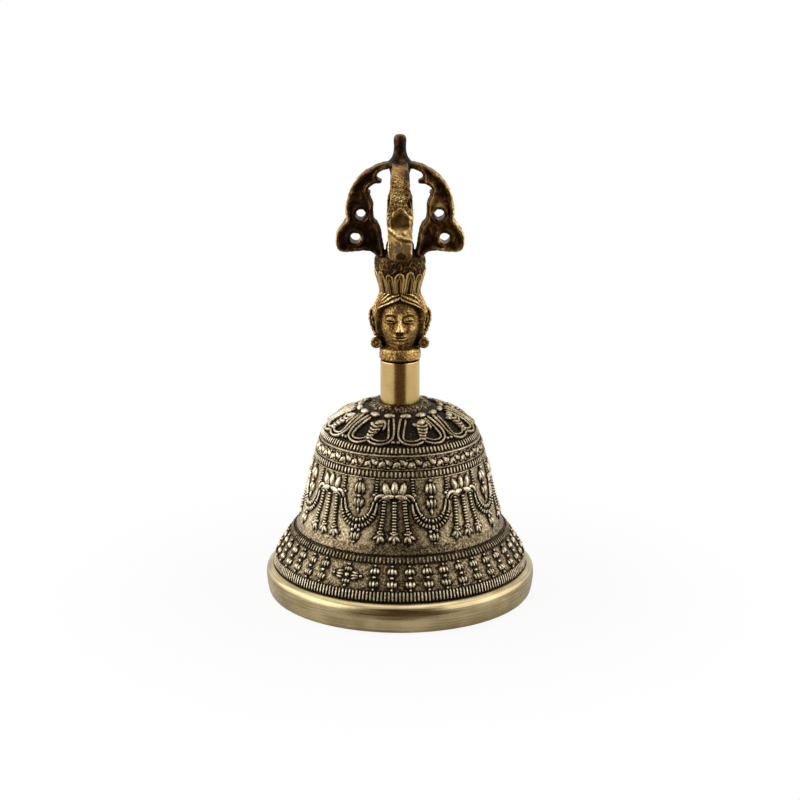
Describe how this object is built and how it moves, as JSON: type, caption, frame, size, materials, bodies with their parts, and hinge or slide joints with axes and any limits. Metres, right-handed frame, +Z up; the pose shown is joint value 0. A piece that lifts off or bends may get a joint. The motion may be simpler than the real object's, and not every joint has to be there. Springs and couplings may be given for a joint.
{
  "type": "hand bell",
  "caption": "Cast hand bell with a flared lip, a smooth tube grip, a handle with a calm head, a lotus cup and a pierced half-vajra, and a clapper hung on a ring inside.",
  "frame": {"origin": "centre of the bell's mouth, in the plane of the rim it stands on", "axes": "+Z up along the bell's axis, the face on the handle looks along -Y"},
  "size_m": [0.09, 0.09, 0.1526],
  "materials": {
    "bell_brass": "cast, dark patina in the hollows, worn bright on the relief, satin lip",
    "grip_brass": "polished",
    "handle_bronze": "as cast, brown patina",
    "vajra_bronze": "as cast, dark brown patina",
    "steel": "plain",
    "striker_iron": "turned, darkened"
  },
  "bodies": {
    "bell": {"bell_shell": "bell_brass", "crown_washer": "steel", "crown_nut": "steel", "grip_sleeve": "grip_brass", "handle_head": "handle_bronze", "half_vajra": "vajra_bronze", "tie_rod": "steel"},
    "link": {"hanger_ring": "steel"},
    "clapper": {"clapper_rod": "steel", "clapper_striker": "striker_iron"}
  },
  "joints": [
    {"name": "ring_swing", "type": "hinge", "parent": "bell", "child": "link", "pos_m": [0, 0, 0.0483], "axis": [1, 0, 0], "range_deg": [-10, 10]},
    {"name": "clapper_swing", "type": "hinge", "parent": "link", "child": "clapper", "pos_m": [0, 0, 0.0425], "axis": [0, 1, 0], "range_deg": [-49, 49]}
  ]
}
